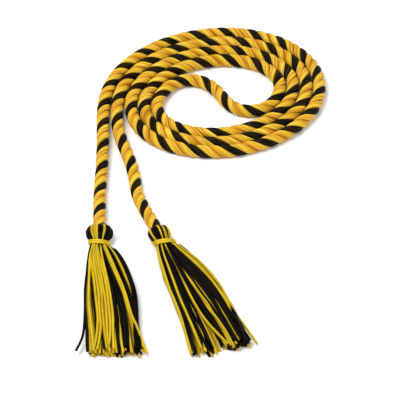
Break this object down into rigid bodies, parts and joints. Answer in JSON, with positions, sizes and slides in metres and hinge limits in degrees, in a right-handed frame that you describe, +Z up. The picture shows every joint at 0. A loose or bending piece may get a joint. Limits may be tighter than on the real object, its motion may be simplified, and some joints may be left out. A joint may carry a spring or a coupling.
{
  "type": "honor cord",
  "caption": "Long twisted rope of gold and black strands with a tassel at each end, laid flat as a double spiral; worn round the neck over a gown.",
  "frame": {"origin": "on the surface it lies on, under the middle of the whole outline", "axes": "+Z up from the surface; +Y from the tassels towards the coil; +X to the right as seen with the coil at the top and the tassels nearest"},
  "size_m": [0.1498, 0.2928, 0.0116],
  "materials": {
    "gold_strand": "twisted rayon strand, antique gold, soft sheen",
    "black_strand": "twisted rayon strand, black, soft sheen",
    "gold_yarn": "smooth rayon tassel yarn, clear gold, satin sheen",
    "black_yarn": "smooth rayon tassel yarn, black, satin sheen"
  },
  "bodies": {
    "root": {"cord": "gold_strand", "left_tassel": "black_yarn", "left_tie": "gold_yarn", "right_tassel": "black_yarn", "right_tie": "gold_yarn"}
  },
  "joints": []
}
